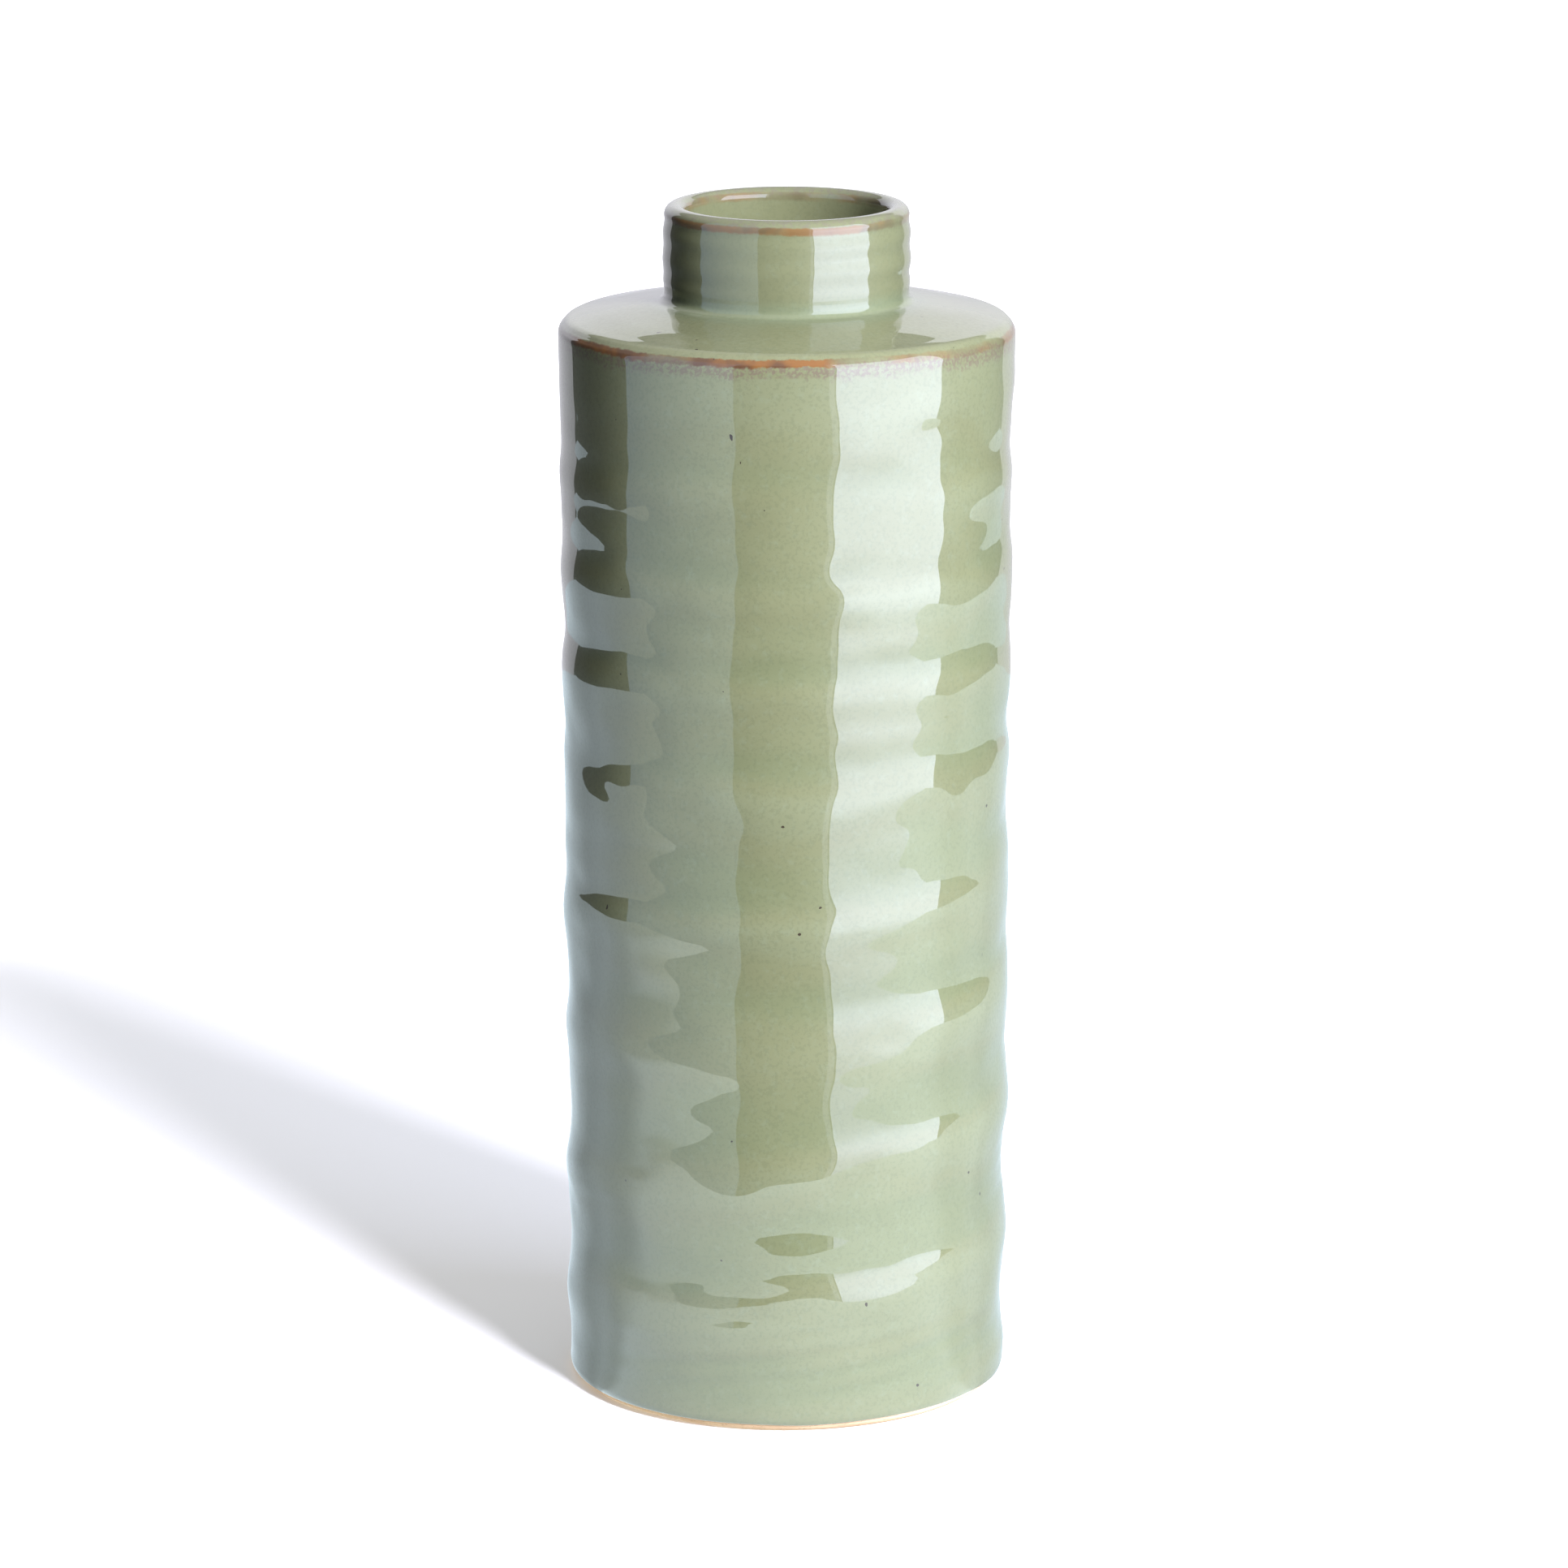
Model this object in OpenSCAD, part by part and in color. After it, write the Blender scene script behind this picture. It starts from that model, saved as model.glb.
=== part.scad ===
// Tall stoneware bottle vase, built up as a potter builds it: a turned floor, a thrown wall, a
// shoulder disc and a thrown neck, luted together with coils of clay, then glazed inside and out.
// Millimetres, +Z up, origin at the middle of the foot, on the table.

/* [Overall] */
// Height from the table to the crest of the lip
vase_h = 346; // [200:1:450]
// Diameter of the body at the shoulder, over the glaze
body_d = 130; // [112:1:170]
// How much narrower the body is at the foot, on the diameter
body_taper = 2; // [0:0.5:8]

/* [Clay] */
// Thickness of the thrown wall
wall_t = 6; // [5:0.5:8]
// Thickness of the floor
floor_t = 6.5; // [5:0.5:10]
// Thickness of the shoulder disc
shoulder_t = 7; // [5.5:0.5:9]
// Height of the step that locates each luted joint
step_h = 2; // [1:0.25:3]
// Radius of the clay coil worked into each inside corner
coil_r = 5; // [3:0.5:7]

/* [Foot] */
// Width of the flat ring that the vase stands on
foot_w = 7; // [4:0.5:10]
// Depth of the turned recess inside the foot ring
recess_h = 2; // [1:0.25:3]
// Radius of the rounded heel
heel_r = 4.5; // [3.5:0.5:6]
// Height of the glaze line above the table
glaze_line_h = 2.8; // [1.5:0.1:3.4]

/* [Shoulder and neck] */
// Slope of the shoulder, in degrees
shoulder_slope = 11.5; // [5:0.5:22]
// Radius of the shoulder's outer edge
edge_r = 4; // [1:0.1:5]
// Height of the lip above the foot of the neck
neck_h = 27; // [18:1:45]
// Diameter of the neck, over the glaze
neck_d = 70; // [56:1:84]
// Thickness of the neck's wall, over the glaze
neck_t = 6.5; // [5.5:0.25:8]
// Radius of the clay fillet worked round the foot of the neck
fillet_r = 2.5; // [1.5:0.25:4]

/* [Throwing rings] */
// Height of the rings at the top of the wall
ring_h_top = 0.25; // [0:0.05:0.6]
// Height of the rings at the foot of the wall
ring_h_foot = 0.5; // [0:0.05:0.8]
// Distance between the two uppermost rings
ring_pitch = 27; // [20:1:40]
// How much further apart each pair of rings is than the pair above
ring_growth = 2.2; // [0.5:0.1:3]
// Distance from the shoulder's edge down to the first ring
first_ring = 44; // [20:1:50]
// Height of the fine finger lines between the rings
line_h = 0.12; // [0:0.02:0.3]
// Distance between the fine finger lines
line_pitch = 13.5; // [9:0.5:20]
// Height of the rings on the neck
neck_ring_h = 0.25; // [0:0.05:0.4]
// Number of rings on the neck
neck_rings = 2; // [1:1:4]

/* [Glaze] */
// Thickness of the glaze coats
glaze_t = 0.6; // [0.4:0.05:0.9]

/* [Hidden] */
clay = [0.80, 0.64, 0.52];
slip_clay = [0.72, 0.56, 0.45];
celadon = [0.62, 0.69, 0.57];
celadon_liner = [0.56, 0.62, 0.46];
wall_step = 1.75;    // height of one facet of the wall's outside
inner_step = 4;      // height of one facet of the wall's inside
neck_step = 0.8;     // height of one facet of the neck's outside
arc_steps = 6;       // facets of a rounded corner
crest_half = 0.2;    // half the width of the lip's crest
feather = 0.25;      // share of the glaze's thickness at its lower edge
feather_points = 4;  // points over which it reaches its full thickness
run_out = 0.5;       // straight clay next to the rounded ends of the mouth
hole_r = 2;          // rounding of the shoulder's hole, on the underside
joint_gap = 1;       // clay between a wall joint and the rounded heel or shoulder edge

// Radii of the clay. The glaze and the rings stand outside the mean surface of the wall.
wall_r_top = body_d / 2 - glaze_t - ring_h_top - line_h;
wall_r_foot = wall_r_top - body_taper / 2;
inner_r_top = wall_r_top - wall_t;
inner_r_foot = wall_r_foot - wall_t;
step_r_top = inner_r_top + wall_t / 2;
step_r_foot = inner_r_foot + wall_t / 2;
neck_r = neck_d / 2 - glaze_t - neck_ring_h;
mouth_r = neck_d / 2 - neck_t + glaze_t;

// The lip, a half round on the neck with a narrow crest.
lip_z = vase_h - glaze_t;
lip_r = (neck_r + mouth_r) / 2;
lip_arc_r = (neck_r - mouth_r) / 2 - crest_half;
lip_turn = lip_z - lip_arc_r;

// The shoulder: a straight slope from the neck to a rounded edge. Under the neck it lies flat.
neck_z = lip_z - neck_h;
function slope_z(x) = neck_z - (x - neck_r) * tan(shoulder_slope);
function underside_z(x) = slope_z(max(x, neck_r)) - shoulder_t;
edge_turn = slope_z(wall_r_top - edge_r * (1 - sin(shoulder_slope)))
    - edge_r * cos(shoulder_slope);
edge_z = edge_turn + edge_r;

// The joints.
floor_z = recess_h + floor_t;
foot_joint_z = heel_r + joint_gap;
step_z = foot_joint_z + step_h;
rim_joint_z = edge_turn - joint_gap;
top_joint_z = rim_joint_z - step_h;
seat_z = neck_z - shoulder_t / 2;

// Rings, counted down from the first crest, each pitch wider than the one above.
half_growth = ring_growth / 2;
start_pitch = ring_pitch - half_growth;
function ring_turn(z) =
    (sqrt(start_pitch ^ 2 + 4 * half_growth * (edge_z - first_ring - z)) - start_pitch)
    / (2 * half_growth);
function ring_h(z) = ring_h_foot + (ring_h_top - ring_h_foot) * z / edge_z;
function mean_r(z) = wall_r_foot + (wall_r_top - wall_r_foot) * z / rim_joint_z;
function wall_r(z) = mean_r(z) + ring_h(z) * cos(360 * ring_turn(z))
    + line_h * cos(360 * z / line_pitch);
function inner_r(z) = mean_r(z) - wall_t + ring_h(z) * sin(360 * ring_turn(z));

// Points along an arc about [cx, cz], from angle a to angle b.
function arc(cx, cz, r, a, b) =
    [for (i = [0:arc_steps]) let (t = a + (b - a) * i / arc_steps)
        [cx + r * cos(t), cz + r * sin(t)]];
// Heights from z0 to z1, in equal steps of about the given size.
function heights(z0, z1, step) =
    let (n = max(1, round(abs(z1 - z0) / step))) [for (i = [0:n]) z0 + (z1 - z0) * i / n];
function tail(list) = [for (i = [1:len(list) - 1]) list[i]];
function reverse(list) = [for (i = [len(list) - 1:-1:0]) list[i]];
// The unit normal on the right of a path, at its point i.
function normal(path, i) =
    let (d = path[min(i + 1, len(path) - 1)] - path[max(i - 1, 0)]) [d[1], -d[0]] / norm(d);
// The glaze's thickness at point i: it thins out at an edge that ends on bare clay.
function coat_t(i, thin_edge) =
    glaze_t * (thin_edge ? min(1, feather + (1 - feather) * i / feather_points) : 1);
// The outline of a glaze coat laid on the right of a path.
function coat(path, thin_edge) = concat(path, reverse(
    [for (i = [0:len(path) - 1]) path[i] + normal(path, i) * coat_t(i, thin_edge)]));

// The outside of the clay, from the foot to the lip.
heel_edge = wall_r(foot_joint_z);
heel_x = heel_edge - heel_r;
foot_in = heel_x - foot_w;
glaze_angle = -asin(1 - glaze_line_h / heel_r);
bare_heel = arc(heel_x, heel_r, heel_r, -90, glaze_angle);
glazed_heel = concat(arc(heel_x, heel_r, heel_r, glaze_angle, 0), [[heel_edge, foot_joint_z]]);
wall_out = [for (z = heights(foot_joint_z, rim_joint_z, wall_step)) [wall_r(z), z]];
rim_x = wall_r(rim_joint_z);
edge_out = arc(rim_x - edge_r, edge_turn, edge_r, 0, 90 - shoulder_slope);
fillet_x = neck_r + fillet_r;
fillet_z = slope_z(fillet_x) + fillet_r / cos(shoulder_slope);
fillet_out = arc(fillet_x, fillet_z, fillet_r, 270 - shoulder_slope, 180);
function neck_out_r(z) = neck_r
    + neck_ring_h * sin(360 * neck_rings * (z - fillet_z) / (lip_turn - fillet_z));
neck_out = concat([for (z = heights(fillet_z, lip_turn, neck_step)) [neck_out_r(z), z]],
                  tail(arc(lip_r + crest_half, lip_turn, lip_arc_r, 0, 90)), [[lip_r, lip_z]]);
outer_path = concat(glazed_heel, tail(wall_out), edge_out, fillet_out, tail(neck_out));

// The inside of the clay, from the lip to the middle of the floor.
under_z = neck_z - shoulder_t;
hole_z = under_z + hole_r;
neck_in = concat([[lip_r, lip_z]], arc(lip_r - crest_half, lip_turn, lip_arc_r, 90, 180),
                 [[mouth_r, lip_turn - run_out], [mouth_r, seat_z]]);
hole_in = concat([[mouth_r, hole_z + run_out]],
                 arc(mouth_r + hole_r, hole_z, hole_r, 180, 270), [[neck_r, under_z]]);
corner_z = underside_z(inner_r_top);
top_coil_x = inner_r_top - coil_r;
top_coil_z = underside_z(top_coil_x) - coil_r / cos(shoulder_slope);
top_coil_in = arc(top_coil_x, top_coil_z, coil_r, 90 - shoulder_slope, 0);
foot_coil_z = floor_z + coil_r;
wall_in = [for (z = heights(top_coil_z - inner_step, foot_coil_z + inner_step, inner_step))
    [inner_r(z), z]];
foot_coil_in = arc(inner_r_foot - coil_r, foot_coil_z, coil_r, 0, -90);
inner_path = concat(neck_in, hole_in, top_coil_in, wall_in, foot_coil_in, [[0, floor_z]]);

module revolve(outline) {
    rotate_extrude($fn = 96) polygon(outline);
}

// The turned floor, with its foot ring and the step that the wall fits over.
module floor_slab() {
    color(clay) revolve(concat(
        [[0, recess_h], [foot_in - recess_h / 2, recess_h], [foot_in, 0]],
        bare_heel, tail(glazed_heel),
        [[step_r_foot, foot_joint_z], [step_r_foot, step_z], [inner_r_foot, step_z],
         [inner_r_foot, floor_z], [0, floor_z]]));
}

// The thrown wall. Its ends are stepped to lap the floor and to hold the shoulder disc.
module thrown_wall() {
    color(clay) revolve(concat(
        wall_out,
        [[step_r_top, rim_joint_z], [step_r_top, top_joint_z], [inner_r_top, top_joint_z],
         [inner_r_top, top_coil_z]],
        wall_in,
        [[inner_r_foot, foot_coil_z], [inner_r_foot, step_z], [step_r_foot, step_z],
         [step_r_foot, foot_joint_z]]));
}

// The shoulder disc, set into the top of the wall, with a seat for the neck.
module shoulder_disc() {
    color(clay) revolve(concat(
        [[rim_x, rim_joint_z]], edge_out,
        [fillet_out[0], [neck_r, neck_z], [neck_r, seat_z], [mouth_r, seat_z]],
        hole_in,
        [top_coil_in[0], [inner_r_top, corner_z], [inner_r_top, top_joint_z],
         [step_r_top, top_joint_z], [step_r_top, rim_joint_z]]));
}

// The thrown neck and its lip.
module neck_collar() {
    color(clay) revolve(concat([[mouth_r, seat_z], [neck_r, seat_z], [neck_r, neck_z]],
                               neck_out, tail(reverse(tail(reverse(neck_in))))));
}

// The coil worked into the corner between the floor and the wall.
module floor_coil() {
    color(slip_clay) revolve(concat(foot_coil_in, [[inner_r_foot, floor_z]]));
}

// The coil worked into the corner between the wall and the shoulder disc.
module shoulder_coil() {
    color(slip_clay) revolve(concat(top_coil_in, [[inner_r_top, corner_z]]));
}

// The fillet of clay worked round the foot of the neck.
module neck_fillet() {
    color(slip_clay) revolve(concat(fillet_out, [[neck_r, neck_z]]));
}

// The glaze outside, from the glaze line on the heel to the crest of the lip.
module outer_glaze() {
    color(celadon) revolve(coat(outer_path, true));
}

// The glaze inside, from the crest of the lip to the middle of the floor.
module liner_glaze() {
    color(celadon_liner) revolve(coat(inner_path, false));
}

floor_slab();
thrown_wall();
shoulder_disc();
neck_collar();
floor_coil();
shoulder_coil();
neck_fillet();
outer_glaze();
liner_glaze();
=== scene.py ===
# Tall stoneware bottle vase: turned floor, thrown wall, shoulder disc and thrown neck, luted with
# coils of clay and glazed celadon inside and out. Metres, +Z up, origin at the middle of the foot.

import math

import bmesh
import bpy
import numpy as np
from mathutils import Matrix, Vector


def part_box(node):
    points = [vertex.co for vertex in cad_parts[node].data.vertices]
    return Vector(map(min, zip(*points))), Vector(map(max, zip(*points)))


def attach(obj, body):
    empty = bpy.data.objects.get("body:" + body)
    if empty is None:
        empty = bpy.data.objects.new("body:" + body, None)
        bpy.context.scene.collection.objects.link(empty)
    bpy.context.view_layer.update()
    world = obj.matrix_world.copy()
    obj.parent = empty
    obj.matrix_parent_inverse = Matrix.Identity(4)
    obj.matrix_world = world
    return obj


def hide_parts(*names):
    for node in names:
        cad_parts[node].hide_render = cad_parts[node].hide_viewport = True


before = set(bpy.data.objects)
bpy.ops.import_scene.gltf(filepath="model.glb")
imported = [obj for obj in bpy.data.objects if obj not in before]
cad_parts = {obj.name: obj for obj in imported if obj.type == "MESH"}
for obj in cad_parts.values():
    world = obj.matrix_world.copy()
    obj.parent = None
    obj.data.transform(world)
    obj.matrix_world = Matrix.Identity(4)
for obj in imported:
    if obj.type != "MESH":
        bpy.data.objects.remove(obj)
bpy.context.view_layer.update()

MM = 0.001


# ---- floor_slab ---------------------------------------------------------------------------------
# The turned floor: a disc of buff stoneware with a foot ring and a shallow recess, cut on the wheel
# when the clay was leather hard. Its rounded heel stays bare below the glaze line.

floor_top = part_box("floor_slab")[1].z
wall_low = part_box("thrown_wall")[0].z
wall_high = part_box("thrown_wall")[1].z
heel_radius = wall_low - 1 * MM
inner_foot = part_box("floor_coil")[1].x
inner_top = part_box("shoulder_coil")[1].x
wall_thick = 6 * MM
outer_foot = inner_foot + wall_thick
outer_top = inner_top + wall_thick
ring_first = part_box("shoulder_disc")[1].z - 49.5 * MM  # height of the first clear crest
ring_pitch = 25.9 * MM
ring_growth = 2.2 * MM
line_pitch = 13.5 * MM
ridge_pitch = 6.5 * MM
flare = 0.6 * MM
foot_width = 7 * MM
foot_recess = 2 * MM
joint_step = 2 * MM


def wall_mean(z):
    """Radius of the wall's outside, without its throwing rings."""
    return outer_foot + (outer_top - outer_foot) * z / wall_high


def ease(low, high, x):
    """0 at low, 1 at high, with no corner at either end."""
    t = np.clip((x - low) / (high - low), 0, 1)
    return t * t * (3 - 2 * t)


def uneven(around, z, lobes, pitch, seed):
    """The unevenness of handwork, from -1 to 1: so many lobes round the pot, a pitch apart up it."""
    table = np.random.default_rng(seed).uniform(-1, 1, (64, lobes))
    side = (around / (2 * np.pi)) % 1 * lobes
    level = z / pitch + 8
    column, row = np.floor(side).astype(int), np.floor(level).astype(int)
    side, level = side - column, level - row
    side = side**3 * (side * (6 * side - 15) + 10)
    level = level**3 * (level * (6 * level - 15) + 10)
    left, right = column % lobes, (column + 1) % lobes
    low = table[row % 64, left] * (1 - side) + table[row % 64, right] * side
    high = table[(row + 1) % 64, left] * (1 - side) + table[(row + 1) % 64, right] * side
    return low * (1 - level) + high * level


def rings_down(z):
    """Throwing rings counted down the wall from the first crest; each is wider than the last."""
    wide = np.sqrt(np.maximum(0, ring_pitch**2 + 2 * ring_growth * (ring_first - z)))
    return (wide - ring_pitch) / ring_growth


def hand_rings(around, z):
    """How far the potter's fingers pushed the wall out or in, at an angle around the pot.

    Near the top the rings are level and shallow. Lower down they climb to the right, as a rising
    hand leaves them, and close to the foot many fine ridges climb with them. Soft lumps lie all
    over and stand out most at the sides."""
    turns = rings_down(z) + 0.10 * uneven(around, z, 9, 34 * MM, 1)
    turns = turns + 0.05 * uneven(around, z, 21, 20 * MM, 7)
    climb = (around + np.pi / 2) / (2 * np.pi)
    level = ease(150 * MM, 235 * MM, z)
    rings = 0
    for phase, share in ((turns, level), (turns + climb, 1 - level)):
        phase = 2 * np.pi * phase
        rings = rings + share * (np.cos(phase) + 0.2 * np.cos(2 * phase + 0.9))
    strength = 0.56 - 0.32 * ease(60 * MM, 270 * MM, z)
    strength = strength * (1 + 0.2 * np.cos(2 * around) + 0.12 * np.cos(around))
    strength = strength * (1 + 0.3 * uneven(around, z, 4, 36 * MM, 2))
    strength = strength * (1 + 0.4 * uneven(around, z, 11, 24 * MM, 9))
    lines = np.cos(2 * np.pi * (z / line_pitch - (1 - level) * climb))
    lines = lines * 0.05 * (0.8 + 1.2 * uneven(around, z, 5, 30 * MM, 3))
    ridges = np.cos(2 * np.pi * (z / ridge_pitch - 7 * climb)) * ease(120 * MM, 45 * MM, z)
    ridges = ridges * 0.07 * (0.5 + 1.6 * uneven(around, z, 7, 22 * MM, 4))
    lumps = 0.28 * uneven(around, z, 16, 16 * MM, 5) + 0.11 * uneven(around, z, 34, 9 * MM, 6)
    lumps = lumps + 0.03 * uneven(around, z, 63, 5 * MM, 8)
    lumps = lumps * (0.8 + 0.7 * np.abs(np.cos(around)) + 0.3 * np.cos(around))
    smooth_top = (38 - 14 * np.cos(around)) * MM
    fade = ease(3 * MM, 14 * MM, z) * ease(0, 1, (wall_high - z) / smooth_top)
    opening = flare * ease(wall_high - 34 * MM, wall_high + 4 * MM, z)
    return fade * (strength * rings + lines + ridges + lumps) * MM + opening


def throw_wall(radius, around, z):
    """Presses the rings into the wall's outside and into the glaze on it. The inside stays."""
    depth = radius - (wall_mean(z) - 4 * MM)
    share = ease(0, 3 * MM, depth) * (z < wall_high + 0.1 * MM)
    return radius + hand_rings(around, z) * share, z


def arc(x, z, radius, first, last, steps=8):
    """Points on an arc about (x, z), between two angles in degrees."""
    found = []
    for i in range(steps + 1):
        angle = math.radians(first + (last - first) * i / steps)
        found.append((x + radius * math.cos(angle), z + radius * math.sin(angle)))
    return found


def between(low, high, step):
    """Values from low to high, both included, about a step apart."""
    count = max(1, round(abs(high - low) / step))
    return [low + (high - low) * i / count for i in range(count + 1)]


def turn(name, outline, closed, steps=256):
    """Spins an outline of (radius, height) points about the vase's axis, as the wheel does.

    It spins one slice of a turn and then doubles it until the turn is full, which is quicker."""
    bm = bmesh.new()
    points = [bm.verts.new((x, 0, z)) for x, z in outline]
    pairs = list(zip(points, points[1:]))
    if closed:
        pairs.append((points[-1], points[0]))
    edges = [bm.edges.new(pair) for pair in pairs]
    slices = 16
    turned = 2 * math.pi / slices
    bmesh.ops.spin(
        bm,
        geom=points + edges,
        cent=(0, 0, 0),
        axis=(0, 0, 1),
        angle=turned,
        steps=steps // slices,
    )
    while turned < 2 * math.pi:
        copied = bmesh.ops.duplicate(bm, geom=bm.verts[:] + bm.edges[:] + bm.faces[:])["geom"]
        spots = [item for item in copied if isinstance(item, bmesh.types.BMVert)]
        bmesh.ops.rotate(bm, cent=(0, 0, 0), matrix=Matrix.Rotation(turned, 3, "Z"), verts=spots)
        turned *= 2
    bmesh.ops.remove_doubles(bm, verts=bm.verts, dist=0.002 * MM)
    bmesh.ops.recalc_face_normals(bm, faces=bm.faces)
    for face in bm.faces:
        face.smooth = True
    for edge in bm.edges:
        edge.smooth = edge.calc_face_angle(0) < math.radians(40)
    mesh = bpy.data.meshes.new(name)
    return bm, mesh


def fire(bm, mesh, shape):
    """Fixes the shape that the potter's hands gave a turned piece, and hangs it on the vase."""
    bm.to_mesh(mesh)
    bm.free()
    spots = np.empty(len(mesh.vertices) * 3)
    mesh.vertices.foreach_get("co", spots)
    x, y, z = spots.reshape(-1, 3).T
    around = np.arctan2(y, x)
    radius, z = shape(np.hypot(x, y), around, z)
    spots = np.stack((radius * np.cos(around), radius * np.sin(around), z), axis=1)
    mesh.vertices.foreach_set("co", spots.ravel())
    mesh.update()
    piece = bpy.data.objects.new(mesh.name, mesh)
    bpy.context.scene.collection.objects.link(piece)
    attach(piece, "root")
    return piece


class Signal:
    """A shader socket that takes part in sums, with numbers or other sockets on either side."""

    def __init__(self, tree, socket=None):
        self.tree = tree
        self.socket = socket

    def node(self, kind, settings, sockets, output=0):
        """Adds a node: its settings first, then the values or links of its sockets."""
        made = self.tree.nodes.new("ShaderNode" + kind)
        for name, value in settings.items():
            if name == "stops":
                while len(made.color_ramp.elements) < len(value):
                    made.color_ramp.elements.new(0.5)
                for element, (place, colour) in zip(made.color_ramp.elements, value):
                    element.position = place
                    element.color = (*colour, 1)
            else:
                setattr(made, name, value)
        for name, value in sockets.items():
            if isinstance(value, Signal):
                self.tree.links.new(value.socket, made.inputs[name])
            else:
                made.inputs[name].default_value = value
        return Signal(self.tree, made.outputs[output])

    def math(self, operation, *others):
        """Puts this signal, and any others after it, through a Math node."""
        return self.node("Math", {"operation": operation}, dict(enumerate((self, *others))))

    def part(self, axis):
        """One coordinate of a place: X, Y or Z."""
        return self.node("SeparateXYZ", {}, {0: self}, axis)

    def __add__(self, other):
        return self.math("ADD", other)

    def __sub__(self, other):
        return self.math("SUBTRACT", other)

    def __mul__(self, other):
        return self.math("MULTIPLY", other)

    def __truediv__(self, other):
        return self.math("DIVIDE", other)

    def __rsub__(self, other):
        return self.node("Math", {"operation": "SUBTRACT"}, {0: other, 1: self})

    __radd__ = __add__
    __rmul__ = __mul__

    def ease(self, low, high):
        """0 below low, 1 above high, smooth between. High may be the lower number."""
        first, last, start, end = (low, high, 0.0, 1.0) if low < high else (high, low, 1.0, 0.0)
        values = {0: self, 1: first, 2: last, 3: start, 4: end}
        return self.node("MapRange", {"interpolation_type": "SMOOTHSTEP"}, values)

    def band(self, middle, half, soft):
        """1 within half a width of the middle, easing to 0 outside it."""
        return (self - middle).math("ABSOLUTE").ease(half + soft, half)

    def blend(self, below, above):
        """Mixes two colours; this signal is the share of the second."""
        return self.node("Mix", {"data_type": "RGBA"}, {0: self, 6: below, 7: above}, 2)

    def grain(self, scale, detail=2.0, roughness=0.5, seed=0.0):
        """Noise on the piece's own coordinates, about 0.5."""
        shift = self.node("VectorMath", {"operation": "ADD"}, {0: self, 1: (seed, seed, seed)})
        values = {"Vector": shift, "Scale": scale, "Detail": detail, "Roughness": roughness}
        return self.node("TexNoise", {}, values)


def new_finish(name):
    """An empty material, and the signal that gives it each place on its piece."""
    material = bpy.data.materials.new(name)
    material.use_nodes = True
    material.node_tree.nodes.clear()
    place = Signal(material.node_tree).node("TexCoord", {}, {}, "Object")
    return material, place


def close_finish(place, shader):
    """Joins a material's shader to its output."""
    output = place.tree.nodes.new("ShaderNodeOutputMaterial")
    place.tree.links.new(shader.socket, output.inputs["Surface"])


def bare_clay(name, pale, dark, grit):
    """Unglazed fired clay: matt, with fine grit, a little iron and turning lines."""
    material, place = new_finish(name)
    cloud = place.grain(60, 3.0)
    speck = place.grain(1500, 1.0, seed=3.0).ease(0.62, 0.7)
    iron = place.grain(420, 2.0, seed=9.0).ease(0.66, 0.74)
    turned = (place.part("Z") * 4200).math("SINE")  # a line every 1.5 mm
    colour = cloud.ease(0.35, 0.65).blend((*dark, 1), (*pale, 1))
    colour = (speck * 0.35).blend(colour, (0.32, 0.20, 0.13, 1))
    colour = (iron * grit).blend(colour, (0.22, 0.09, 0.04, 1))
    relief = place.grain(900, 4.0) + turned * 0.12 - speck * 0.3
    bump = place.node("Bump", {}, {"Strength": 0.35, "Distance": 0.2 * MM, "Height": relief})
    shader = place.node(
        "BsdfPrincipled",
        {},
        {"Base Color": colour, "Roughness": 0.78 + speck * 0.1, "Normal": bump},
    )
    close_finish(place, shader)
    return material


stoneware = bare_clay("stoneware", (0.80, 0.58, 0.40), (0.70, 0.47, 0.31), 0.25)

heel_edge = wall_mean(wall_low)
heel_x = heel_edge - heel_radius
foot_inside = heel_x - foot_width
step_radius = inner_foot + 3 * MM
trimmed = []
for radius in between(2 * MM, foot_inside - 6 * MM, 1.1 * MM):
    trimmed.append((radius, foot_recess + 0.12 * MM * math.sin(radius / (0.9 * MM))))
slab_outline = (
    [(0, foot_recess)]
    + trimmed
    + arc(foot_inside - 1.5 * MM, foot_recess - 1.5 * MM, 1.5 * MM, 90, 20)
    + [(foot_inside + 0.4 * MM, 0.15 * MM), (foot_inside + 1.2 * MM, 0)]
    + arc(heel_x, heel_radius, heel_radius, -90, 0, 16)
    + [(heel_edge, wall_low), (step_radius, wall_low), (step_radius, wall_low + joint_step)]
    + [(inner_foot, wall_low + joint_step), (inner_foot, floor_top), (0, floor_top)]
)


def press_foot(radius, around, z):
    """The foot is nearly round: its edge gave a little under the weight of the soft clay."""
    pressed = 0.25 * MM * uneven(around, z * 0, 9, 1, 7) * ease(5 * MM, 1 * MM, z)
    return throw_wall(radius + pressed * (radius > step_radius), around, z)


bm, mesh = turn("turned_floor", slab_outline, closed=False)
floor_slab = fire(bm, mesh, press_foot)
floor_slab.data.materials.append(stoneware)
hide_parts("floor_slab")


# ---- thrown_wall --------------------------------------------------------------------------------
# The wall: one cylinder pulled up on the wheel, 6 mm thick, with finger rings inside and out. Its
# ends are stepped to lap the floor below and to hold the shoulder disc above.


def inner_wall(z):
    """Radius of the wall's inside, with softer rings than the outside has."""
    rings = (0.5 - 0.25 * z / wall_high) * MM * np.sin(2 * np.pi * rings_down(z))
    fade = ease(14 * MM, 30 * MM, z) * ease(wall_high - 8 * MM, wall_high - 24 * MM, z)
    return wall_mean(z) - wall_thick + fade * rings


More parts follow.
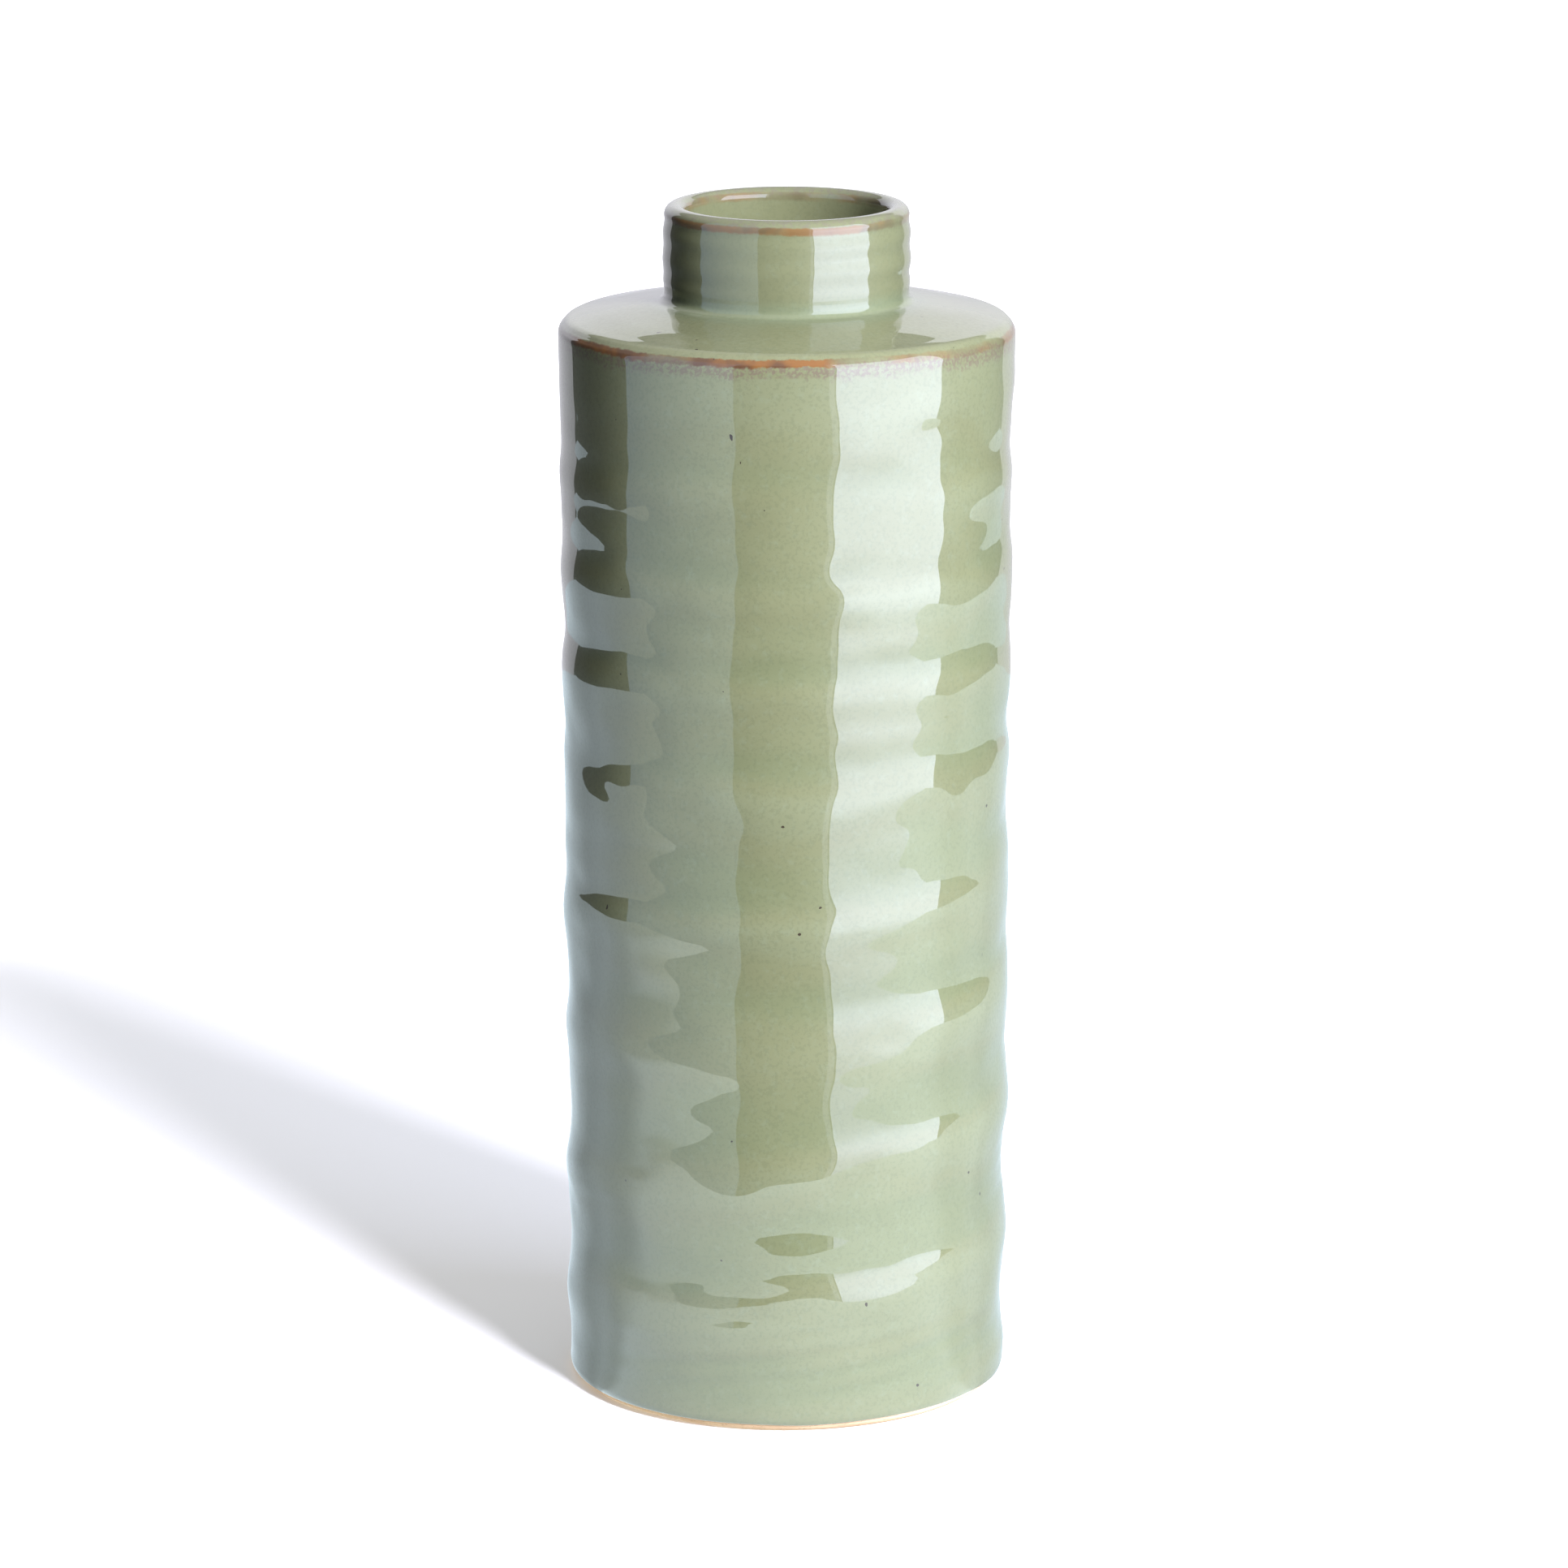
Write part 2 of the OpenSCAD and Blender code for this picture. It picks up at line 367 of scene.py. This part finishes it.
coil = 5 * MM
step_top = inner_top + 3 * MM
rim_low = wall_high - joint_step
wall_outline = (
    [(wall_mean(z), z) for z in between(wall_low, wall_high, 1.8 * MM)]
    + [(step_top, wall_high), (step_top, rim_low), (inner_top, rim_low)]
    + [(inner_wall(z), z) for z in between(wall_high - 7 * MM, floor_top + coil, 4 * MM)]
    + [(inner_foot, wall_low + joint_step), (step_radius, wall_low + joint_step)]
    + [(step_radius, wall_low)]
)
bm, mesh = turn("thrown_cylinder", wall_outline, closed=True, steps=192)
thrown_wall = fire(bm, mesh, throw_wall)
thrown_wall.data.materials.append(stoneware)
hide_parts("thrown_wall")


# ---- shoulder_disc and neck_collar --------------------------------------------------------------
# The shoulder is a cone thrown apart and set into the top of the wall; the neck is a short thrown
# ring that stands in a seat in it. Both are the same buff stoneware, hidden under the glaze.

for node_name in ("shoulder_disc", "neck_collar"):
    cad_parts[node_name].data.materials.clear()
    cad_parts[node_name].data.materials.append(stoneware)


# ---- floor_coil, shoulder_coil and neck_fillet --------------------------------------------------
# Coils of softer clay worked into the corners with a finger. They hold more water and iron than the
# body, so they fire a little darker and coarser.

slip_clay = bare_clay("slip_clay", (0.70, 0.49, 0.33), (0.60, 0.38, 0.24), 0.5)
for node_name in ("floor_coil", "shoulder_coil", "neck_fillet"):
    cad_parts[node_name].data.materials.clear()
    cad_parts[node_name].data.materials.append(slip_clay)


# ---- outer_glaze --------------------------------------------------------------------------------
# The outside coat: a celadon glaze about 0.6 mm thick. It runs thin over the shoulder's edge and the
# lip, where the iron breaks through in rust, pools round the neck and stops in a bead at the heel.

coat = 0.6 * MM
slope_degrees = 11.5
slope = math.radians(slope_degrees)
edge_radius = 4 * MM
fillet = 1.85 * MM
neck_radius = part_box("neck_fillet")[1].x - fillet
lip_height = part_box("neck_collar")[1].z
mouth_radius = neck_radius - 5.05 * MM
lip_radius = (neck_radius + mouth_radius) / 2
lip_flat = 0.2 * MM
lip_round = (neck_radius - mouth_radius) / 2 - lip_flat
lip_turn = lip_height - lip_round
neck_low = lip_height - 27 * MM
rim_radius = wall_mean(wall_high) + 0.97 * flare  # the wall has all but flared out here
edge_turn = wall_high + 1 * MM


def on_slope(radius):
    """Height of the bare shoulder cone."""
    return neck_low - (radius - neck_radius) * math.tan(slope)


glaze_start = -math.degrees(math.asin(1 - 2.8 * MM / heel_radius))
bead = []
for i, point in enumerate(arc(heel_x, heel_radius, heel_radius, glaze_start, 0, 10)):
    lift = coat * (0.15 + 0.95 * math.sin(min(1, (i + 0.2) / 2.2) * math.pi / 2))
    away = math.radians(glaze_start * (1 - i / 10))
    bead.append((point[0] + lift * math.cos(away), point[1] + lift * math.sin(away)))
outside = bead + [(wall_mean(z) + coat, z) for z in between(wall_low, wall_high, 1.4 * MM)]
outside += arc(rim_radius - edge_radius, edge_turn, edge_radius + coat, 0, 90 - slope_degrees, 14)
pool = 2.4 * MM
pool_x = neck_radius + coat + pool
pool_z = on_slope(pool_x) + coat / math.cos(slope) + pool / math.cos(slope)
slope_end = pool_x + pool * -math.sin(slope)
slope_start = outside[-1][0]
for radius in between(slope_start, slope_end, 1.6 * MM)[1:-1]:
    outside.append((radius, on_slope(radius) + coat / math.cos(slope)))
outside += arc(pool_x, pool_z, pool, 270 - slope_degrees, 180, 10)
neck_top = lip_turn + 0.2 * MM
for z in between(pool_z, neck_top, 0.8 * MM)[1:-1]:
    outside.append((neck_radius + coat, z))
outside += arc(lip_radius + lip_flat, lip_turn, lip_round + coat, 0, 90, 12)
outside.append((lip_radius, lip_height + coat))

inside = arc(heel_x, heel_radius, heel_radius, glaze_start, 0, 5)
inside += [(wall_mean(z), z) for z in between(wall_low, wall_high, 6 * MM)]
inside += arc(rim_radius - edge_radius, edge_turn, edge_radius, 0, 90 - slope_degrees, 6)
inside += [(neck_radius + fillet, on_slope(neck_radius + fillet))]
inside += [(neck_radius, neck_low + 1.9 * MM), (neck_radius, lip_turn)]
inside += arc(lip_radius + lip_flat, lip_turn, lip_round, 0, 90, 5)[1:]
inside.append((lip_radius, lip_height))
glaze_outline = outside + inside[::-1]


def neck_rings(around, z):
    """Three soft finger rings round the neck, a little uneven."""
    wave = np.cos(2 * np.pi * (z - neck_low - 4.5 * MM) / (7.6 * MM))
    wave = wave * (1 + 0.7 * uneven(around, z, 5, 9 * MM, 11))
    lumps = 0.12 * uneven(around, z, 11, 12 * MM, 12)
    swell = 0.3 * ease(lip_turn, lip_turn - 12 * MM, z)
    fade = ease(neck_low + 3 * MM, neck_low + 7 * MM, z) * ease(lip_turn + 1 * MM, lip_turn - 2 * MM, z)
    firm = 0.06 + 0.10 * np.cos(around) ** 2
    return fade * (firm * wave + lumps + swell) * MM


def pour_glaze(radius, around, z):
    """The coat follows the thrown clay. Its edge wavers at the heel, its surface sags and swells
    a little on the shoulder, and it carries the neck's rings."""
    swing = 0.10 * uneven(around, z * 0, 7, 1, 13) + 0.04 * uneven(around, z * 0, 22, 1, 14)
    swing = swing * ease(wall_low, 3 * MM, z) * (z < wall_low)
    dx, dz = radius - heel_x, z - heel_radius
    near = swing != 0
    radius = np.where(near, heel_x + dx * np.cos(swing) - dz * np.sin(swing), radius)
    z = np.where(near, heel_radius + dz * np.cos(swing) + dx * np.sin(swing), z)
    radius, z = throw_wall(radius, around, z)
    proud = (z > on_slope(radius) + 0.3 * MM) | (radius > rim_radius + 0.2 * MM)
    proud = proud & (z > wall_high) & (radius > neck_radius + 4 * MM)
    sag = 0.18 * uneven(around, z * 0, 7, 1, 15) + 0.10 * uneven(around, radius, 16, 9 * MM, 16)
    crown = 0.35 * np.sin(np.pi * np.clip((radius - neck_radius) / (rim_radius - neck_radius), 0, 1))
    z = z + proud * (sag + crown) * MM
    on_neck = (radius < neck_radius + 4 * MM) & (radius > neck_radius + 0.3 * MM)
    return radius + on_neck * neck_rings(around, z), z


def hollows(piece):
    """Keeps how deep each point lies in the throwing rings, for the colour of the glaze."""
    spots = np.empty(len(piece.data.vertices) * 3)
    piece.data.vertices.foreach_get("co", spots)
    x, y, z = spots.reshape(-1, 3).T
    depth = piece.data.attributes.new("hollow", "FLOAT", "POINT")
    depth.data.foreach_set("value", hand_rings(np.arctan2(y, x), z) / MM * (z < wall_high))


def celadon_finish(name):
    """Glossy grey-green celadon over iron-bearing clay."""
    material, place = new_finish(name)
    x = place.part("X")
    y = place.part("Y")
    z = place.part("Z")
    radius = (x * x + y * y).math("SQRT")
    hollow = place.node("Attribute", {"attribute_name": "hollow"}, {}, "Fac")
    cloud = place.grain(38, 3.0)
    fleck = place.grain(950, 2.0, 0.6, seed=2.0)
    mist = place.grain(420, 3.0, 0.6, seed=5.0)

    base = cloud.ease(0.3, 0.7).blend((0.088, 0.094, 0.047, 1), (0.096, 0.103, 0.053, 1))
    base = (hollow.ease(0.1, -0.5) * 0.4).blend(base, (0.072, 0.088, 0.042, 1))
    base = (hollow.ease(0.1, 0.5) * 0.3).blend(base, (0.106, 0.120, 0.070, 1))
    base = (mist.ease(0.5, 0.75) * 0.2).blend(base, (0.11, 0.135, 0.09, 1))
    base = (fleck.ease(0.5, 0.62) * 0.2).blend(base, (0.05, 0.06, 0.03, 1))

    # the iron line along the shoulder's edge
    along = (z - edge_turn) - (radius - (rim_radius - 0.6 * MM))
    wander = (place.grain(34, 3.0, seed=7.0) - 0.5) * (5 * MM)
    fray = (place.grain(420, 3.0, 0.7, seed=1.0) - 0.5) * (2.6 * MM)
    facing = (x * -0.57 - y * 0.82) / radius
    iron = facing.ease(0.5, 0.8) * 0.6 + place.grain(26, 2.0, seed=11.0).ease(0.4, 0.58) * 0.6
    iron = iron.math("MINIMUM", 0.95)
    line = (along - wander - fray).band(1.1 * MM, 1.2 * MM, 0.9 * MM)
    skirt = (along - wander - fray * 2.2).band(-1.2 * MM, 1.4 * MM, 2.2 * MM)
    skirt = skirt * place.grain(1100, 2.0, seed=6.0).ease(0.40, 0.58)
    base = (skirt * 0.6).blend(base, (0.075, 0.050, 0.040, 1))
    scorch = place.grain(75, 3.0, 0.6, seed=31.0).ease(0.42, 0.6)
    rust = scorch.blend((0.100, 0.042, 0.010, 1), (0.048, 0.022, 0.010, 1))
    base = (line * iron).blend(base, rust)

    # the iron line round the lip, outside and inside
    lip_wander = (place.grain(30, 2.0, seed=13.0) - 0.5) * (2.2 * MM)
    outer_lip = (z - lip_height) - (radius - neck_radius)
    inner_lip = (z - lip_height) + (radius - mouth_radius)
    lip_iron = facing.ease(0.0, 0.7) * 0.6 + place.grain(45, 2.0, seed=17.0).ease(0.35, 0.55) * 0.6
    lip_iron = lip_iron.math("MINIMUM", 0.95)
    at_lip = z.ease(lip_turn - 3 * MM, lip_turn - 1 * MM)
    out_line = (outer_lip - lip_wander - fray * 0.5).band(-2.6 * MM, 0.7 * MM, 0.8 * MM)
    in_line = (inner_lip - lip_wander - fray * 0.5).band(-2.0 * MM, 1.0 * MM, 1.0 * MM)
    lip_line = (out_line * radius.ease(lip_radius, lip_radius + 0.5 * MM)
                + in_line * radius.ease(lip_radius, lip_radius - 0.5 * MM)) * at_lip
    haze = z.ease(lip_turn, lip_turn + 1.5 * MM) * place.grain(620, 3.0, 0.7, seed=33.0).ease(0.45, 0.6)
    base = (haze * 0.5).blend(base, (0.085, 0.070, 0.060, 1))
    base = (lip_line * lip_iron).blend(base, rust)

    # where it pools at the foot of the neck it is bluer
    pooled = (radius - neck_radius).ease(10 * MM, 2 * MM) * z.ease(neck_low + 7 * MM, neck_low + 2 * MM)
    pooled = pooled * z.ease(neck_low - 6 * MM, neck_low - 3 * MM)
    base = (pooled * 0.25).blend(base, (0.075, 0.110, 0.070, 1))
    # painted shade: the neck and lip, inside and out, are painted darker above the neck's foot
    base = (z.ease(neck_low + 4 * MM, neck_low + 7 * MM) * 0.3).blend(base, (0.065, 0.070, 0.035, 1))

    pin = place.grain(420, 0.0, seed=21.0).ease(0.885, 0.893)
    base = pin.blend(base, (0.02, 0.014, 0.008, 1))

    orange_peel = place.grain(130, 2.0, 0.5, seed=8.0) + place.grain(700, 1.0, seed=4.0) * 0.08
    bump = place.node(
        "Bump", {}, {"Strength": 0.18, "Distance": 0.12 * MM, "Height": orange_peel - pin * 2}
    )
    shader = place.node(
        "BsdfPrincipled",
        {},
        {
            "Base Color": base,
            "Roughness": 0.38 + fleck * 0.1,
            "Specular IOR Level": 0.2,
            "Coat Weight": 1.0,
            "Coat Roughness": 0.012,
            "Coat IOR": 1.55,
            "Normal": bump,
        },
    )
    close_finish(place, shader)
    return material


celadon = celadon_finish("celadon_glaze")
bm, mesh = turn("celadon_coat", glaze_outline, closed=True)
outer_glaze = fire(bm, mesh, pour_glaze)
outer_glaze.data.materials.append(celadon)
hollows(outer_glaze)
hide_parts("outer_glaze")


# ---- liner_glaze --------------------------------------------------------------------------------
# The inside coat: glaze poured in, swilled round and poured out, so it covers the neck, the wall and
# the floor in one skin and meets the outside coat on the crest of the lip.

hole = neck_low - 7 * MM
coil_x = inner_top - coil
coil_z = hole - (coil_x - neck_radius) * math.tan(slope) - coil / math.cos(slope)


def liner_path(skin):
    """The inside from lip to floor, a skin's thickness in from the clay."""
    path = [(lip_radius, lip_height + skin)]
    path += arc(lip_radius - lip_flat, lip_turn, lip_round + skin, 90, 180, 12)
    path += [(mouth_radius - skin, z) for z in between(lip_turn, hole + 2 * MM, 1.2 * MM)[1:-1]]
    path += arc(mouth_radius + 2 * MM, hole + 2 * MM, 2 * MM + skin, 180, 270, 8)
    path.append((neck_radius, hole - skin))
    path += arc(coil_x, coil_z, coil - skin, 90 - slope_degrees, 0, 8)
    path += [(inner_wall(z) - skin, z) for z in between(coil_z, floor_top + coil, 3 * MM)[1:-1]]
    path += arc(inner_foot - coil, floor_top + coil, coil - skin, 0, -90, 8)
    path += [(radius, floor_top + skin) for radius in between(inner_foot - coil, 0, 4 * MM)[1:]]
    return path


liner_outline = liner_path(coat) + liner_path(0)[::-1]


def swill(radius, around, z):
    """In the neck the poured skin is uneven by a tenth of a millimetre or so."""
    in_neck = (radius < mouth_radius - 0.3 * MM) & (z > hole + 4 * MM)
    fade = ease(lip_turn, lip_turn - 4 * MM, z)
    return radius + in_neck * fade * 0.16 * MM * uneven(around, z, 6, 7 * MM, 17), z


bm, mesh = turn("liner_coat", liner_outline, closed=False)
liner_glaze = fire(bm, mesh, swill)
liner_glaze.data.materials.append(celadon)
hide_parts("liner_glaze")


# ---- the table ----------------------------------------------------------------------------------
# A plain pale surface. The glaze mirrors a brightly lit table that ends a little in front of the
# vase, so that one is made of two glowing sheets of its own, which only the vase sees. Their glow
# is painted light, dimmed beside and behind the vase by a painted shadow.


def plain_paint(name, colour, near, far):
    """Matt paint that also glows, a little near the vase and more far off, so it stays white."""
    material, place = new_finish(name)
    x = place.part("X")
    y = place.part("Y")
    reach = (x * x + y * y).math("SQRT")
    glow = reach.ease(0.35, 1.6).blend((near, near, near, 1), (far, far, far, 1))
    shader = place.node(
        "BsdfPrincipled",
        {},
        {
            "Base Color": (*colour, 1),
            "Roughness": 0.9,
            "Specular IOR Level": 0.0,
            "Emission Color": glow,
            "Emission Strength": 1.0,
        },
    )
    close_finish(place, shader)
    return material


def painted_table_light(name, mirrored, shed):
    """What a lit table shows in the glaze, and how much of its light the vase gets back. It is
    brightest in front of the vase, dimmer beside it and far off on the left, and dimmest behind.

    Front and back are judged by the way to a spot from the near side of the vase, at a place 55 mm
    beside its axis and 30 mm in front of it."""
    material, place = new_finish(name)
    x = place.part("X")
    y = place.part("Y")
    across = x.math("ABSOLUTE") - 55 * MM
    ahead = y + 30 * MM
    back = ahead / (across * across + ahead * ahead).math("SQRT")
    # the dimming beside and behind the vase is a painted shadow of the vase on the lit table
    beside = back.ease(-0.35, 0.1).math("MAXIMUM", x.ease(-0.28, -0.5))
    seen = beside.blend((*mirrored, 1), (*(0.58 * part for part in mirrored), 1))
    seen = back.ease(0.3, 0.65).blend(seen, (*(0.35 * part for part in mirrored), 1))
    sharp = place.node("LightPath", {}, {}, "Is Glossy Ray")
    glow = sharp.blend((*shed, 1), seen)
    close_finish(place, place.node("Emission", {}, {"Color": glow, "Strength": 1.0}))
    return material


def sheet(name, low_x, high_x, low_y, high_y, z, material):
    """A flat rectangle that faces up."""
    bm = bmesh.new()
    bmesh.ops.create_grid(bm, x_segments=1, y_segments=1, size=0.5)
    middle = Vector(((low_x + high_x) / 2, (low_y + high_y) / 2, z))
    bmesh.ops.scale(bm, vec=(high_x - low_x, high_y - low_y, 1), verts=bm.verts)
    bmesh.ops.translate(bm, vec=middle, verts=bm.verts)
    mesh = bpy.data.meshes.new(name)
    bm.to_mesh(mesh)
    bm.free()
    mesh.materials.append(material)
    made = bpy.data.objects.new(name, mesh)
    bpy.context.scene.collection.objects.link(made)
    return made


ground = sheet("ground", -9, 9, -9, 9, 0, plain_paint("white_floor", (0.8, 0.8, 0.8), 0.15, 1.0))
ground.visible_glossy = False
ground.visible_diffuse = False
ground.visible_shadow = False
lit_white = painted_table_light("lit_table", (2.45, 2.9, 3.2), (0.7, 0.65, 0.45))
for name, front, back in (("table", -0.12, 0.9), ("table_front", -0.27, -0.12)):
    mirrored = sheet(name, -1.0, 0.9, front, back, -0.2 * MM, lit_white)
    mirrored.visible_camera = False
    mirrored.visible_shadow = False


# ---- lights -------------------------------------------------------------------------------------
# Two tall soft boxes, a bright one on the right with a dim rim and a dim one on the left, with dark
# studio between them and white paper behind. A lamp high on the right shines through the bright
# box, which is why the boxes cast no shadow.


def soft_box(name, bearings, distance, heights, tint, stops):
    """A curved upright light between two bearings in degrees, seen from the vase. A bearing is 0
    towards the camera and grows to the right. The stops give its brightness by height."""
    bm = bmesh.new()
    first, last = bearings
    low, high = heights
    way = math.radians(first)
    foot = bm.verts.new((distance * math.sin(way), -distance * math.cos(way), low))
    head = bm.verts.new((distance * math.sin(way), -distance * math.cos(way), high))
    edge = bm.edges.new((foot, head))
    bmesh.ops.spin(
        bm,
        geom=[foot, head, edge],
        cent=(0, 0, 0),
        axis=(0, 0, 1),
        angle=math.radians(last - first),
        steps=24,
    )
    mesh = bpy.data.meshes.new(name)
    bm.to_mesh(mesh)
    bm.free()
    material, place = new_finish(name)
    z = place.part("Z")
    share = (z - low) / (high - low)
    full = 20.0
    ramp = []
    for height, glow in stops:
        ramp.append(((height - low) / (high - low), tuple(part * glow / full for part in tint)))
    glow = place.node("ValToRGB", {"stops": ramp}, {0: share}, "Color")
    close_finish(place, place.node("Emission", {}, {"Color": glow, "Strength": full}))
    mesh.materials.append(material)
    made = bpy.data.objects.new(name, mesh)
    bpy.context.scene.collection.objects.link(made)
    made.visible_camera = False
    made.visible_shadow = False
    return made


reach = 1.15
base = -0.6  # below the table, because the glaze mirrors them past the lit table's front edge
key_glow = [(base, 3.6), (-0.2, 3.8), (-0.02, 6.0), (0.06, 6.2), (0.2, 7), (0.4, 6), (1.25, 5)]
soft_box("key_box", (24, 82), reach, (base, 1.25), (0.84, 0.92, 1.2), key_glow)
soft_box("key_rim", (20.5, 23.2), reach, (base, 1.25), (0.9, 0.95, 1.1), [(base, 1.2), (1.25, 1.2)])
fill = soft_box("fill_box", (-86, -26), reach, (base, 1.5), (0.8, 1.1, 1.5), [(base, 1), (1.5, 1)])
fill.visible_diffuse = False
paper_glow = [(base, 0.8), (0.3, 0.8), (0.8, 1.2), (1.52, 1.35)]
soft_box("paper", (139, 224), 2 * reach, (base, 1.52), (1.0, 1.0, 1.08), paper_glow)

lamp = bpy.data.lights.new("high_lamp", "AREA")
lamp.shape = "DISK"
lamp.size = 0.9
lamp.energy = 368
lamp.color = (1.0, 0.98, 1.12)
high_lamp = bpy.data.objects.new("high_lamp", lamp)
lamp_way = Matrix.Rotation(math.radians(33), 4, "Z") @ Matrix.Rotation(math.radians(60), 4, "X")
high_lamp.matrix_world = Matrix.Translation((0, 0, 0.15)) @ lamp_way @ Matrix.Translation((0, 0, 3))
high_lamp.visible_glossy = False
bpy.context.scene.collection.objects.link(high_lamp)

world = bpy.data.worlds.new("studio")
world.use_nodes = True
world.node_tree.nodes.clear()
air = Signal(world.node_tree)
seen = air.node("LightPath", {}, {}, "Is Camera Ray")
way = air.node("TexCoord", {}, {}, "Generated")
dim = way.part("Z").ease(0.35, 0.8).blend((0.01, 0.01, 0.01, 1), (0.8, 0.8, 0.8, 1))
shade = seen.blend(dim, (1, 1, 1, 1))
lit = air.node("Background", {}, {"Color": shade, "Strength": 1.0})
output = world.node_tree.nodes.new("ShaderNodeOutputWorld")
world.node_tree.links.new(lit.socket, output.inputs["Surface"])
bpy.context.scene.world = world


# ---- camera -------------------------------------------------------------------------------------
# A long lens 1.9 m in front of the vase and 0.64 m above the table, looking down at the vase.

lens = bpy.data.cameras.new("camera")
lens.sensor_width = 36
lens.lens = 155.1
lens.clip_end = 50
camera = bpy.data.objects.new("camera", lens)
camera.location = (-0.78 * MM, -1900 * MM, 640 * MM)
camera.rotation_euler = (math.radians(90 - 13.71), 0, 0)
bpy.context.scene.collection.objects.link(camera)
bpy.context.scene.camera = camera
bpy.context.scene.view_settings.view_transform = "Standard"

bpy.context.view_layer.update()
